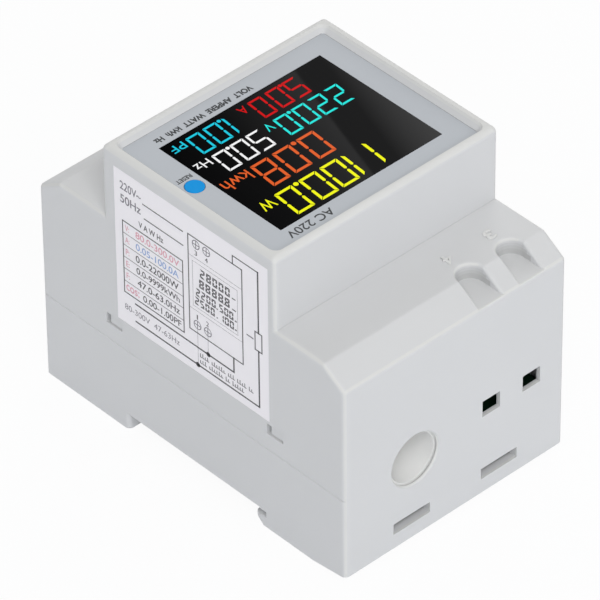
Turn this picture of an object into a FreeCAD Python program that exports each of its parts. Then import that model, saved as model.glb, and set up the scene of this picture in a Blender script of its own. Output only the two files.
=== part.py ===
import FreeCAD, Part
import math
import os

from FreeCAD import Vector

# Rail-mounted multifunction meter, three modules wide, lying on its back with the
# display facing up. Millimetres. The origin is the centre of the footprint at the
# level of the rail feet. X runs along the mounting rail, Y runs from the supply
# terminals 1 and 2 to the blank positions 3 and 4, and Z points out of the display.

# Housing as a whole
MODULE = 18.0
MODULE_COUNT = 3
LENGTH = 80.0
HEIGHT = 63.4
SEAM_Z = 18.8
WALL = 1.8
EDGE_R = 1.0
FRONT_EDGE_R = 1.2
SEAM_GROOVE = 0.2

# Raised front and sloping shoulders
FRONT_LENGTH = 44.9
FRONT_PART_HEIGHT = 16.0
SHOULDER_Z = 47.4
END_TOP_Z = 43.9
SLOPE_LENGTH = 5.5

# Rail channel under the back, for the 35 mm rail with 1 mm flanges
RAIL_WIDTH = 35.0
RAIL_PLAY = 0.9
CHANNEL_Y = 0.75
CHANNEL_DEPTH = 3.75
HOOK_LENGTH = 2.2
HOOK_TIP = 0.25
HOOK_Z = 2.2
HOOK_GROOVE = 1.3
HOOK_STEP_Y = 1.6
HEEL_FLAT = 12.9
HEEL_RISE = 1.0

# Front recess with its sloping rim, and the printed sheet that lies in it
RECESS_DEPTH = 1.3
RIM_SLOPE = 1.0
SHEET_X = 48.9
SHEET_Y = 40.1
SHEET_R = 0.7
SHEET_THICKNESS = 0.5
SHEET_GAP = 0.1
TOP_PLATE = 1.8

# Display window and the ledge that carries it
WINDOW_X = 38.9
WINDOW_Y = 31.5
WINDOW_CENTRE_Y = 0.2
WINDOW_LEDGE = 0.6
WINDOW_GAP = 0.04

# Display module under the window
GLASS_GAP = 0.2
GLASS_THICKNESS = 2.8
FRAME_GAP = 0.15
FRAME_WALL_X = 0.6
FRAME_WALL_Y = 1.2
FRAME_TOP_GAP = 0.2
FRAME_LEDGE = 1.6
FRAME_HEIGHT = 4.0
DIFFUSER_THICKNESS = 0.8
DIFFUSER_LEDGE = 0.8
PIN_COUNT = 16
PIN_PITCH = 2.0
PIN_WIDTH = 0.5
PIN_DEPTH = 0.4
LED_COUNT = 3
LED_PITCH = 12.0
LED_X = 3.5
LED_Y = 2.8
LED_Z = 1.2

# Circuit boards
BOARD = 1.6
BOARD_GAP = 0.5
BOSS_R = 2.0
BOSS_INSET_X = 2.3
BOSS_INSET_Y = 2.6
SCREW_R = 0.95
SCREW_HEAD_R = 1.8
SCREW_HEAD = 1.3
SCREW_BITE = 4.0
SCREW_HOLE_GAP = 0.1
SCREW_SLOT = 0.4
SCREW_SLOT_DEPTH = 0.6
MAIN_BOARD_TOP = 15.8
MAIN_BOARD_EDGE_X = -2.7
MAIN_BOARD_GAP = 0.3
POST_R = 2.4
POST_X = (-21.5, -6.5)
POST_Y_RATIOS = (-0.6, 0.825)
RISER_X = -7.8
RISER_LENGTH = 24.0

# Reset button and its switch
BUTTON_R = 1.83
BUTTON_X = 22.1
BUTTON_Y = -3.3
BUTTON_PROUD = 0.1
BUTTON_EDGE = 0.09
BUTTON_GAP = 0.1
BUTTON_TRAVEL = 0.4
BUTTON_FLANGE_R = 2.3
BUTTON_FLANGE = 0.7
BUTTON_STEM_R = 0.9
SWITCH_SIDE = 3.4
SWITCH_HEIGHT = 1.6
PLUNGER_R = 0.8
PLUNGER_PROUD = 0.7
PLUNGER_DEPTH = 0.5
PLUNGER_GAP = 0.06

# Terminal positions: pitch, wire entries and the U-shaped pockets on the shoulders
TERMINAL_PITCH = 10.0
TERMINAL_X = -13.7
ENTRY_WIDTH = 4.35
ENTRY_HEIGHT = 3.6
ENTRY_WALL = 0.9
ENTRY_EASE = 1.0
POCKET_R = 2.8
POCKET_FLOOR_Z = 44.0
POCKET_WALL = 1.4
POCKET_RIM_R = 0.6
WELL_R = 2.6
WELL_WALL = 1.3

# Rising-cage screw terminals
CAGE_X = 7.0
CAGE_Y = 5.0
CAGE_WALL = 1.0
CAGE_FLOOR = 1.2
CAGE_TOP = 1.8
CAGE_GAP = 0.15
CAGE_SILL = 0.3
CLAMP_OPEN = 5.0
BAR_WIDTH = 4.4
BAR_THICKNESS = 1.2
BAR_GAP = 0.1
BAR_LEG_GAP = 0.3
TOP_GAP = 1.6
THREAD_R = 1.7
THREAD_GAP = 0.05
THREAD_PITCH = 0.6
CLAMP_TURNS = 7
HEAD_R = 2.4
HEAD_HEIGHT = 2.0
HEAD_GAP = 0.1
HEAD_SLOT = 0.8
HEAD_SLOT_DEPTH = 1.0
DECK = 1.2
DECK_GAP = 0.6
BLOCK_RIM = 0.5
BLOCK_GAP = 0.1
BLOCK_WALL = 1.2

# Through hole for the measured conductor, its tube and the current transformer
HOLE_X = 10.0
HOLE_R = 5.55
HOLE_CHAMFER = 0.3
HOLE_LIP = 0.5
TUBE_R = 5.2
TUBE_WALL = 0.8
TUBE_GAP = 0.1
TUBE_END_GAP = 0.4
RIB = 1.6
RIB_Y = 25.0
RIB_X = 14.0
CORE_R = 12.0
CORE_LENGTH = 13.0
CORE_GAP = 0.2
CORE_EDGE = 1.0
CORE_SEAT_GAP = 0.05
CORE_FOOT_X = 5.0
CORE_FOOT_SUNK = 1.0
CORE_FOOT_Y = 12.0
CORE_FOOT_Z = 4.0
SADDLE_Y = 4.5
SADDLE_X = 16.0
SADDLE_Z = 4.0

# Snap joint between the two halves of the housing
SNAP_Y = (22.0, -20.4)
SNAP_WINDOW_Y = 4.2
SNAP_WINDOW_Z = 2.35
SNAP_SILL_Z = 22.45
SNAP_TONGUE_Y = 3.25
SNAP_TONGUE_SHIFT = 0.35
SNAP_TONGUE = 1.3
SNAP_ROOT_Z = 6.0
SNAP_CLEARANCE = 0.1
SNAP_CATCH_GAP = 0.2
SNAP_SUNK = 0.35
LOCATING_LIP_Y = 24.0
LOCATING_LIP = 0.9
LOCATING_LIP_Z = 1.8

# Slots low in the two end walls
SLOT_X = 10.8
SLOT_WIDTH = 9.0
SLOT_Z = 4.2
SLOT_HEIGHT = 2.4

# Rail clip in its guide under the foot
CLIP_WIDTH = 18.0
CLIP_PLATE = 1.5
CLIP_RIB = 0.8
CLIP_RIB_INSET = 1.5
CLIP_GAP = 0.1
CLIP_LIFT = 0.2
CLIP_NOSE = 2.2
CLIP_NOSE_TIP = 0.8
CLIP_END_GAP = 0.4
CLIP_ARM = 1.3
CLIP_ARM_SLOT = 1.1
CLIP_ARM_LENGTH = 13.0
CLIP_SLOT_X = 7.0
CLIP_SLOT_Y = 1.8
CLIP_SLOT_INSET = 3.6
CLIP_ROOF = 1.5

# Rating label on the side
LABEL_Y = (-19.3, 20.6)
LABEL_Z = (25.45, 60.3)
LABEL_THICKNESS = 0.12
LABEL_SUNK = 0.03
LABEL_GAP = 0.04

# Components on the main board, which share out its length: each has the x of its centre and the
# ratio of its y to half the length of the housing, then its own sizes
LINE_CAP_X = -15.5
LINE_CAP_Y_RATIO = -0.425
LINE_CAP_SIZE = (13.0, 6.0, 12.0)
VARISTOR_X = -15.5
VARISTOR_Y_RATIO = -0.25
VARISTOR_R = 5.0
VARISTOR_THICKNESS = 4.0
VARISTOR_LIFT = 1.0
VARISTOR_EDGE = 1.0
VARISTOR_PITCH = 5.0
FUSE_X = -21.6
FUSE_Y_RATIO = -0.1
FUSE_R = 1.7
FUSE_LENGTH = 8.0
FUSE_LIFT = 0.2
FUSE_LEG_REACH = 1.7
CHOKE_X = -15.5
CHOKE_Y_RATIO = -0.025
CHOKE_R = 4.0
CHOKE_HEIGHT = 9.0
CHOKE_FLANGE = 1.2
CHOKE_WAIST = 0.8
FILTER_CAP_X = -18.5
LARGE_CAP_Y_RATIO = 0.25
LARGE_CAP_R = 5.0
LARGE_CAP_HEIGHT = 16.0
SMALL_CAP_Y_RATIO = 0.525
SMALL_CAP_R = 4.0
SMALL_CAP_HEIGHT = 11.0
CAP_GROOVE = 0.4
CAN_EDGE = 0.5
LEAD_R = 0.35
LEG_R = 0.5
METER_CHIP_X = -8.5
METER_CHIP_Y_RATIO = 0.55
METER_CHIP_SIZE = (4.0, 10.0, 1.5)
METER_CHIP_LEGS = 8

# Controller under the display board
DISPLAY_CHIP_X = 6.0
DISPLAY_CHIP_Y = 4.0
DISPLAY_CHIP_SIZE = (9.0, 9.0, 1.4)
DISPLAY_CHIP_LEGS = 8
CHIP_LIFT = 0.2
CHIP_LEG = 1.0

# Sizes and levels that follow from the ones above
HALF_X = MODULE * MODULE_COUNT / 2
HALF_Y = LENGTH / 2
HALF_FRONT = FRONT_LENGTH / 2
INNER_X = HALF_X - WALL
INNER_Y = HALF_Y - WALL
SLOPE_Y = HALF_Y - SLOPE_LENGTH
FOOT_Y = CHANNEL_Y - (RAIL_WIDTH + RAIL_PLAY) / 2
HOOK_Y = CHANNEL_Y + (RAIL_WIDTH + RAIL_PLAY) / 2
SHEET_TOP = HEIGHT - RECESS_DEPTH
SHEET_SEAT = SHEET_TOP - SHEET_THICKNESS
ROOF_Z = SHEET_SEAT - TOP_PLATE
GLASS_X = WINDOW_X - 2 * (WINDOW_LEDGE + GLASS_GAP)
GLASS_Y = WINDOW_Y - 2 * (WINDOW_LEDGE + GLASS_GAP)
GLASS_Z = SHEET_SEAT - GLASS_THICKNESS
DISPLAY_BOARD_TOP = GLASS_Z - FRAME_HEIGHT
DISPLAY_BOARD_X = INNER_X - BOARD_GAP
DISPLAY_BOARD_Y = HALF_FRONT - WALL - BOARD_GAP
BOSS_PLACES = [
    (sx * (DISPLAY_BOARD_X - BOSS_INSET_X), sy * (DISPLAY_BOARD_Y - BOSS_INSET_Y))
    for sx in (-1, 1) for sy in (-1, 1)
]
POST_PLACES = [(x, ratio * HALF_Y) for x in POST_X for ratio in POST_Y_RATIOS]
TERMINALS = (TERMINAL_X - TERMINAL_PITCH / 2, TERMINAL_X + TERMINAL_PITCH / 2)
CAGE_FLOOR_TOP = SEAM_Z - CAGE_SILL
BAR_Z = CAGE_FLOOR_TOP + CLAMP_OPEN
BAR_TOP = BAR_Z + BAR_THICKNESS
CAGE_TOP_Z = BAR_TOP + TOP_GAP
CLAMP_TRAVEL = THREAD_PITCH * CLAMP_TURNS
DECK_Z = CAGE_TOP_Z + CAGE_TOP + CLAMP_TRAVEL + DECK_GAP
HEAD_Z = DECK_Z + DECK + HEAD_GAP
BLOCK_TOP = HEAD_Z + HEAD_HEIGHT + BLOCK_RIM
BLOCK_FRONT_Y = -(INNER_Y - BLOCK_GAP)
CAGE_CELL_X = CAGE_X / 2 + CAGE_GAP
CAGE_CELL_Y = CAGE_Y / 2 + CAGE_GAP
BLOCK_BACK_Y = -SLOPE_Y + CAGE_CELL_Y + BLOCK_WALL
TUBE_OUTER = TUBE_R + TUBE_WALL
TUBE_END = HALF_Y - HOLE_LIP - TUBE_END_GAP
CLIP_BOTTOM = CLIP_LIFT
CLIP_SHELF = CLIP_LIFT + CLIP_RIB
CLIP_TOP = CLIP_SHELF + CLIP_PLATE
GUIDE_TOP = CLIP_TOP + CLIP_GAP


def box(x0, x1, y0, y1, z0, z1):
    """Square-edged block between two corners."""
    return Part.makeBox(x1 - x0, y1 - y0, z1 - z0, Vector(x0, y0, z0))


def slab(x, y, size_x, size_y, z0, z1):
    """Square-edged block centred on a point of the plan."""
    return box(x - size_x / 2, x + size_x / 2, y - size_y / 2, y + size_y / 2, z0, z1)


def upright(x, y, radius, z0, z1):
    """Round bar standing along Z."""
    return Part.makeCylinder(radius, z1 - z0, Vector(x, y, z0))


def lengthwise(radius, y0, y1, x=HOLE_X, z=SEAM_Z):
    """Round bar lying along Y, by default on the axis of the through hole."""
    return Part.makeCylinder(radius, y1 - y0, Vector(x, y0, z), Vector(0, 1, 0))


def prism_yz(points, x0, x1):
    """Extrusion along X of an outline given as (y, z) points."""
    corners = [Vector(x0, y, z) for y, z in points]
    face = Part.Face(Part.makePolygon(corners + corners[:1]))
    return face.extrude(Vector(x1 - x0, 0, 0))


def prism_xz(points, y0, y1):
    """Extrusion along Y of an outline given as (x, z) points."""
    corners = [Vector(x, y0, z) for x, z in points]
    face = Part.Face(Part.makePolygon(corners + corners[:1]))
    return face.extrude(Vector(0, y1 - y0, 0))


def runs_along(edge, direction):
    """True for a straight edge that is parallel to a direction."""
    if not isinstance(edge.Curve, Part.Line):
        return False
    return abs(edge.Curve.Direction.dot(direction)) > 0.999


def round_uprights(solid, radius):
    """Rounds every straight vertical edge."""
    edges = [edge for edge in solid.Edges if runs_along(edge, Vector(0, 0, 1))]
    return solid.makeFillet(radius, edges)


def rounded_outline(size_x, size_y, radius, z):
    """Closed wire of a rectangle with round corners."""
    hx = size_x / 2
    hy = size_y / 2
    corners = ((hx, hy, 0), (-hx, hy, 90), (-hx, -hy, 180), (hx, -hy, 270))
    arcs = []
    for x, y, start in corners:
        centre = Vector(x - math.copysign(radius, x), y - math.copysign(radius, y), z)
        circle = Part.Circle(centre, Vector(0, 0, 1), radius)
        arcs.append(Part.Arc(circle, math.radians(start), math.radians(start + 90)))
    edges = []
    for index, arc in enumerate(arcs):
        following = arcs[(index + 1) % 4]
        edges.append(arc.toShape())
        edges.append(Part.makeLine(arc.EndPoint, following.StartPoint))
    return Part.Wire(edges)


def rounded_slab(size_x, size_y, radius, z0, z1):
    """Plate with round corners, centred on the origin of the plan."""
    face = Part.Face(rounded_outline(size_x, size_y, radius, z0))
    return face.extrude(Vector(0, 0, z1 - z0))


def joined(first, others):
    """One solid from pieces that overlap or share a face."""
    return first.multiFuse(others).removeSplitter()


def mitre(wall, turn):
    """How far a corner moves along its edge when the outline is inset by a wall."""
    return wall * math.tan(turn / 2)


def body_outline(inset):
    """(y, z) outline of the upper half up to the shoulders, inset by a wall."""
    slope = math.atan2(SHOULDER_Z - END_TOP_Z, SLOPE_LENGTH)
    end_y = HALF_Y - inset
    end_z = END_TOP_Z - mitre(inset, math.pi / 2 - slope)
    slope_y = SLOPE_Y - mitre(inset, slope)
    top_z = SHOULDER_Z - inset
    half = [(end_y, SEAM_Z), (end_y, end_z), (slope_y, top_z)]
    return half + [(-y, z) for y, z in reversed(half)]


def upper_block():
    """Outer form of the upper half: body with sloping shoulders and the raised front."""
    body = prism_yz(body_outline(0), -HALF_X, HALF_X)
    kept = [e for e in body.Edges if e.BoundBox.ZMax > SEAM_Z + EDGE_R]
    body = body.makeFillet(EDGE_R, kept)
    front = box(-HALF_X, HALF_X, -HALF_FRONT, HALF_FRONT, SEAM_Z + EDGE_R, HEIGHT)
    front = round_uprights(front, EDGE_R)
    kept = [e for e in front.Edges if e.BoundBox.ZMin > SHOULDER_Z]
    return joined(body, [front.makeFillet(FRONT_EDGE_R, kept)])


def pocket(x, side, grow, floor_z):
    """U-shaped space that opens on the end of a shoulder, grown by a wall if wanted."""
    radius = POCKET_R + grow
    centre_y = side * SLOPE_Y
    end_y = side * HALF_Y
    top = SHOULDER_Z + EDGE_R
    y0, y1 = sorted((centre_y, end_y))
    straight = box(x - radius, x + radius, y0, y1, floor_z, top)
    return joined(upright(x, centre_y, radius, floor_z, top), [straight])


def pocket_rim(x, side):
    """Space that rounds the rim of a pocket, round its end and down both sides of the slope."""
    reach = POCKET_R + POCKET_RIM_R
    low = -POCKET_RIM_R
    run = SLOPE_LENGTH + 2 * EDGE_R
    turned = upright(0, 0, reach, low, EDGE_R).cut(Part.makeTorus(reach, POCKET_RIM_R, Vector(0, 0, low)))
    straight = box(-reach, reach, 0, run, low, EDGE_R)
    straight = straight.cut([lengthwise(POCKET_RIM_R, 0, run, end, low) for end in (-reach, reach)])
    slope = math.atan2(SHOULDER_Z - END_TOP_Z, SLOPE_LENGTH)
    straight.rotate(Vector(), Vector(1, 0, 0), -math.degrees(slope))
    rim = joined(turned, [straight])
    if side < 0:
        rim.rotate(Vector(), Vector(0, 0, 1), 180)
    rim.translate(Vector(x, side * SLOPE_Y, SHOULDER_Z))
    return rim.common(slab(x, 0, 2 * reach, 2 * LENGTH, POCKET_FLOOR_Z, HEIGHT))


def upper_cavity():
    """Inside of the upper half, which leaves the pocket walls and screw wells standing."""
    body = prism_yz(body_outline(WALL), -INNER_X, INNER_X)
    half = HALF_FRONT - WALL
    cavity = joined(body, [box(-INNER_X, INNER_X, -half, half, SEAM_Z, ROOF_Z)])
    pocket_low = POCKET_FLOOR_Z - POCKET_WALL
    well_low = BLOCK_TOP + BLOCK_GAP
    standing = [upright(x, y, BOSS_R, DISPLAY_BOARD_TOP, ROOF_Z) for x, y in BOSS_PLACES]
    for x in TERMINALS:
        standing += [pocket(x, side, POCKET_WALL, pocket_low) for side in (-1, 1)]
        standing.append(upright(x, -SLOPE_Y, WELL_R + WELL_WALL, well_low, SHOULDER_Z))
    for side in (-1, 1):
        standing.append(slab(HOLE_X, side * RIB_Y, RIB_X, RIB, SEAM_Z, SHOULDER_Z))
    return cavity.cut(standing)


def hole_cutters():
    """Stepped round cuts for the conductor hole, its lip and the seat of the tube."""
    seat = HALF_Y - HOLE_LIP
    cutters = [lengthwise(TUBE_OUTER + TUBE_GAP, -seat, seat), lengthwise(HOLE_R, -HALF_Y, HALF_Y)]
    for side in (-1, 1):
        mouth = Vector(HOLE_X, side * HALF_Y, SEAM_Z)
        inward = Vector(0, -side, 0)
        cutters.append(Part.makeCone(HOLE_R + HOLE_CHAMFER, HOLE_R, HOLE_CHAMFER, mouth, inward))
    return cutters


def entry_reliefs():
    """Pockets inside the end walls that leave the walls thinner round the wire entries."""
    reach = HALF_Y - ENTRY_WALL
    width = ENTRY_WIDTH + 2 * ENTRY_EASE
    low = SEAM_Z - ENTRY_EASE
    high = SEAM_Z + ENTRY_HEIGHT + ENTRY_EASE
    cutters = []
    for x in TERMINALS:
        for side in (-1, 1):
            y0, y1 = sorted((side * (INNER_Y - WALL), side * reach))
            cutters.append(box(x - width / 2, x + width / 2, y0, y1, low, high))
    return cutters


def seam_grooves():
    """Fine V grooves that draw the joint line along the two sides."""
    cutters = []
    for side in (-1, 1):
        face = side * HALF_X
        root = side * (HALF_X - SEAM_GROOVE)
        points = [(face, SEAM_Z - SEAM_GROOVE), (face, SEAM_Z + SEAM_GROOVE), (root, SEAM_Z)]
        cutters.append(prism_xz(points, -HALF_Y, HALF_Y))
    return cutters


def upper_moulding():
    """Upper half in one: raised front with its recess, shoulders, pockets and wire entries."""
    shell = upper_block().cut(upper_cavity())
    rim = Part.makeLoft([
        rounded_outline(SHEET_X, SHEET_Y, SHEET_R, SHEET_TOP),
        rounded_outline(SHEET_X + 2 * RIM_SLOPE, SHEET_Y + 2 * RIM_SLOPE, SHEET_R + RIM_SLOPE, HEIGHT),
    ], True, True)
    grown = 2 * SHEET_GAP
    seat = rounded_slab(SHEET_X + grown, SHEET_Y + grown, SHEET_R + SHEET_GAP, SHEET_SEAT, SHEET_TOP)
    opening_x = WINDOW_X - 2 * WINDOW_LEDGE
    opening_y = WINDOW_Y - 2 * WINDOW_LEDGE
    opening = slab(0, WINDOW_CENTRE_Y, opening_x, opening_y, ROOF_Z, SHEET_SEAT)
    button_hole = upright(BUTTON_X, BUTTON_Y, BUTTON_R + BUTTON_GAP, ROOF_Z, SHEET_SEAT)
    cutters = [rim, seat, opening, button_hole]
    bite_top = DISPLAY_BOARD_TOP + SCREW_BITE
    cutters += [upright(x, y, SCREW_R, DISPLAY_BOARD_TOP, bite_top) for x, y in BOSS_PLACES]
    for x in TERMINALS:
        for side in (-1, 1):
            cutters += [pocket(x, side, 0, POCKET_FLOOR_Z), pocket_rim(x, side)]
        cutters.append(upright(x, -SLOPE_Y, WELL_R, BLOCK_TOP, POCKET_FLOOR_Z))
        cutters.append(slab(x, 0, ENTRY_WIDTH, LENGTH, SEAM_Z, SEAM_Z + ENTRY_HEIGHT))
    for y in SNAP_Y:
        top = SNAP_SILL_Z + SNAP_WINDOW_Z
        cutters.append(slab(0, y, 2 * HALF_X, SNAP_WINDOW_Y, SNAP_SILL_Z, top))
    cutters += entry_reliefs() + hole_cutters() + seam_grooves()
    cutters.append(label_block(HALF_X, LABEL_GAP))
    return shell.cut(cutters)


def front_part():
    """Block round the raised front, where the one-piece moulding is parted into two nodes."""
    return slab(0, 0, 2 * HALF_X, FRONT_LENGTH, HEIGHT - FRONT_PART_HEIGHT, HEIGHT)


def upper_housing(moulding):
    """Upper moulding up to the level of its shoulders."""
    return moulding.cut(front_part())


def front_housing(moulding):
    """Raised front of the same moulding, above the level of the shoulders."""
    return moulding.common(front_part())


def lower_outline():
    """(y, z) outline of the lower half with the rail channel and its fixed hook."""
    groove_top = HOOK_Z + HOOK_GROOVE
    return [
        (-HALF_Y, SEAM_Z), (-HALF_Y, 0), (FOOT_Y, 0), (FOOT_Y, CHANNEL_DEPTH),
        (HOOK_Y - HOOK_STEP_Y, CHANNEL_DEPTH), (HOOK_Y - HOOK_STEP_Y, groove_top),
        (HOOK_Y, groove_top), (HOOK_Y, HOOK_Z),
        (HOOK_Y - HOOK_LENGTH, HOOK_Z), (HOOK_Y - HOOK_LENGTH, HOOK_Z - HOOK_TIP),
        (HOOK_Y, 0), (HOOK_Y + HEEL_FLAT, 0), (HALF_Y, HEEL_RISE), (HALF_Y, SEAM_Z),
    ]


def lower_cavity():
    """Inside of the lower half: a floor over the clip guide, the channel and the heel."""
    guide_floor = GUIDE_TOP + CLIP_ROOF
    channel_floor = CHANNEL_DEPTH + WALL
    heel_floor = HEEL_RISE + WALL
    points = [
        (-INNER_Y, SEAM_Z), (-INNER_Y, guide_floor), (FOOT_Y - WALL, guide_floor),
        (FOOT_Y - WALL, channel_floor), (HOOK_Y + WALL, channel_floor),
        (HOOK_Y + WALL, heel_floor), (INNER_Y, heel_floor), (INNER_Y, SEAM_Z),
    ]
    return prism_yz(points, -INNER_X, INNER_X)


def snap_tongue(y, side):
    """Springy tongue behind the upper wall, with the barb that fills its window."""
    outer = INNER_X - SNAP_CLEARANCE
    inner = outer - SNAP_TONGUE
    face = HALF_X - SNAP_SUNK
    catch_low = SNAP_SILL_Z + SNAP_CATCH_GAP
    catch_top = SNAP_SILL_Z + SNAP_WINDOW_Z - SNAP_CLEARANCE
    points = [
        (inner, SEAM_Z - SNAP_ROOT_Z), (INNER_X + SNAP_CLEARANCE, SEAM_Z - SNAP_ROOT_Z),
        (INNER_X + SNAP_CLEARANCE, SEAM_Z - SNAP_CLEARANCE), (outer, SEAM_Z),
        (outer, catch_low), (face, catch_low), (face, catch_top - SNAP_SUNK),
        (face - SNAP_SUNK, catch_top), (outer, catch_top), (inner, catch_top),
    ]
    points = [(side * x, z) for x, z in points]
    centre = y + SNAP_TONGUE_SHIFT
    return prism_xz(points, centre - SNAP_TONGUE_Y / 2, centre + SNAP_TONGUE_Y / 2)


def inner_fittings():
    """Posts, cradles, locating lips and snap tongues that stand inside the lower half."""
    board_low = MAIN_BOARD_TOP - BOARD
    fittings = [upright(x, y, POST_R, HEEL_RISE, board_low) for x, y in POST_PLACES]
    for side in (-1, 1):
        y = side * RIB_Y
        fittings.append(slab(HOLE_X, y, RIB_X, RIB, HEEL_RISE, SEAM_Z))
        y = side * SADDLE_Y
        saddle_top = CHANNEL_DEPTH + WALL + SADDLE_Z
        fittings.append(slab(HOLE_X, y, SADDLE_X, RIB, CHANNEL_DEPTH + WALL / 2, saddle_top))
        lip_outer = side * (INNER_X - SNAP_CLEARANCE)
        lip_inner = side * (INNER_X - SNAP_CLEARANCE - LOCATING_LIP)
        root = side * (INNER_X + SNAP_CLEARANCE)
        low = SEAM_Z - LOCATING_LIP_Z
        high = SEAM_Z + LOCATING_LIP_Z
        points = [
            (lip_inner, low), (root, low), (root, SEAM_Z - SNAP_CLEARANCE),
            (lip_outer, SEAM_Z), (lip_outer, high), (lip_inner, high),
        ]
        fittings.append(prism_xz(points, -LOCATING_LIP_Y / 2, LOCATING_LIP_Y / 2))
        fittings += [snap_tongue(y, side) for y in SNAP_Y]
    return fittings


def clip_guide():
    """T-shaped guide for the rail clip, open at the end face and into the channel."""
    wide = CLIP_WIDTH / 2 + CLIP_GAP
    narrow = wide - CLIP_RIB_INSET
    shelf = CLIP_SHELF - CLIP_GAP
    points = [
        (-narrow, 0), (narrow, 0), (narrow, shelf), (wide, shelf),
        (wide, GUIDE_TOP), (-wide, GUIDE_TOP), (-wide, shelf), (-narrow, shelf),
    ]
    return prism_xz(points, -HALF_Y, FOOT_Y)


def lower_housing():
    """Lower moulding: rail channel with its hook, clip guide, end slots and inner fittings."""
    shell = round_uprights(prism_yz(lower_outline(), -HALF_X, HALF_X), EDGE_R)
    shell = joined(shell.cut(lower_cavity()), inner_fittings())
    cutters = entry_reliefs() + hole_cutters() + seam_grooves() + [clip_guide()]
    cutters.append(lengthwise(CORE_R + CORE_SEAT_GAP, -CORE_LENGTH / 2, CORE_LENGTH / 2))
    for x in (-SLOT_X, SLOT_X):
        for side in (-1, 1):
            y = side * (HALF_Y - WALL / 2)
            cutters.append(slab(x, y, SLOT_WIDTH, WALL, SLOT_Z, SLOT_Z + SLOT_HEIGHT))
    board_low = MAIN_BOARD_TOP - BOARD
    cutters += [upright(x, y, SCREW_R, board_low - SCREW_BITE, board_low) for x, y in POST_PLACES]
    return shell.cut(cutters)


def face_sheet():
    """Printed plastic sheet in the front recess, with openings for window and button."""
    sheet = rounded_slab(SHEET_X, SHEET_Y, SHEET_R, SHEET_SEAT, SHEET_TOP)
    grown = 2 * WINDOW_GAP
    window = slab(0, WINDOW_CENTRE_Y, WINDOW_X + grown, WINDOW_Y + grown, SHEET_SEAT, SHEET_TOP)
    hole = upright(BUTTON_X, BUTTON_Y, BUTTON_R + BUTTON_GAP, SHEET_SEAT, SHEET_TOP)
    return sheet.cut([window, hole])


def display_window():
    """Clear pane that lies flush in the sheet, on the ledge round the opening."""
    return slab(0, WINDOW_CENTRE_Y, WINDOW_X, WINDOW_Y, SHEET_SEAT, SHEET_TOP)


def lcd_panel():
    """Liquid crystal cell that comes up through the opening to the pane."""
    return slab(0, WINDOW_CENTRE_Y, GLASS_X, GLASS_Y, GLASS_Z, SHEET_SEAT)


def lcd_frame():
    """Light box under the cell: stepped ledges for cell and diffuser, slot for the pins."""
    outer_x = GLASS_X + 2 * (FRAME_GAP + FRAME_WALL_X)
    outer_y = GLASS_Y + 2 * (FRAME_GAP + FRAME_WALL_Y)
    top = ROOF_Z - FRAME_TOP_GAP
    frame = slab(0, WINDOW_CENTRE_Y, outer_x, outer_y, DISPLAY_BOARD_TOP, top)
    grown = 2 * FRAME_GAP
    cell = slab(0, WINDOW_CENTRE_Y, GLASS_X + grown, GLASS_Y + grown, GLASS_Z, top)
    sheet_x = GLASS_X - 2 * DIFFUSER_LEDGE
    sheet_y = GLASS_Y - 2 * DIFFUSER_LEDGE
    sheet_z = GLASS_Z - DIFFUSER_THICKNESS
    sheet = slab(0, WINDOW_CENTRE_Y, sheet_x + grown, sheet_y + grown, sheet_z, GLASS_Z)
    light_x = GLASS_X - 2 * FRAME_LEDGE
    light_y = GLASS_Y - 2 * FRAME_LEDGE
    light = slab(0, WINDOW_CENTRE_Y, light_x, light_y, DISPLAY_BOARD_TOP, sheet_z)
    edge = WINDOW_CENTRE_Y - GLASS_Y / 2
    row = PIN_COUNT * PIN_PITCH
    pins = box(-row / 2, row / 2, edge - PIN_DEPTH - FRAME_GAP, edge, DISPLAY_BOARD_TOP, top)
    return frame.cut([cell, sheet, light, pins])


def light_diffuser():
    """Milky sheet that spreads the backlight under the cell."""
    size_x = GLASS_X - 2 * DIFFUSER_LEDGE
    size_y = GLASS_Y - 2 * DIFFUSER_LEDGE
    return slab(0, WINDOW_CENTRE_Y, size_x, size_y, GLASS_Z - DIFFUSER_THICKNESS, GLASS_Z)


def lcd_pins():
    """Row of pins from the edge of the cell down to the display board."""
    edge = WINDOW_CENTRE_Y - GLASS_Y / 2
    top = ROOF_Z - FRAME_TOP_GAP
    start = -(PIN_COUNT - 1) * PIN_PITCH / 2
    y = edge - PIN_DEPTH / 2
    pins = []
    for index in range(PIN_COUNT):
        x = start + index * PIN_PITCH
        pins.append(slab(x, y, PIN_WIDTH, PIN_DEPTH, DISPLAY_BOARD_TOP, top))
    return Part.makeCompound(pins)


def backlight_leds():
    """Lamps in a row on the display board, inside the light box."""
    start = -(LED_COUNT - 1) * LED_PITCH / 2
    top = DISPLAY_BOARD_TOP + LED_Z
    lamps = []
    for index in range(LED_COUNT):
        x = start + index * LED_PITCH
        lamps.append(slab(x, WINDOW_CENTRE_Y, LED_X, LED_Y, DISPLAY_BOARD_TOP, top))
    return Part.makeCompound(lamps)


def display_board():
    """Board under the display, screwed to four bosses of the upper half."""
    low = DISPLAY_BOARD_TOP - BOARD
    board = slab(0, 0, 2 * DISPLAY_BOARD_X, 2 * DISPLAY_BOARD_Y, low, DISPLAY_BOARD_TOP)
    radius = SCREW_R + SCREW_HOLE_GAP
    return board.cut([upright(x, y, radius, low, DISPLAY_BOARD_TOP) for x, y in BOSS_PLACES])


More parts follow.
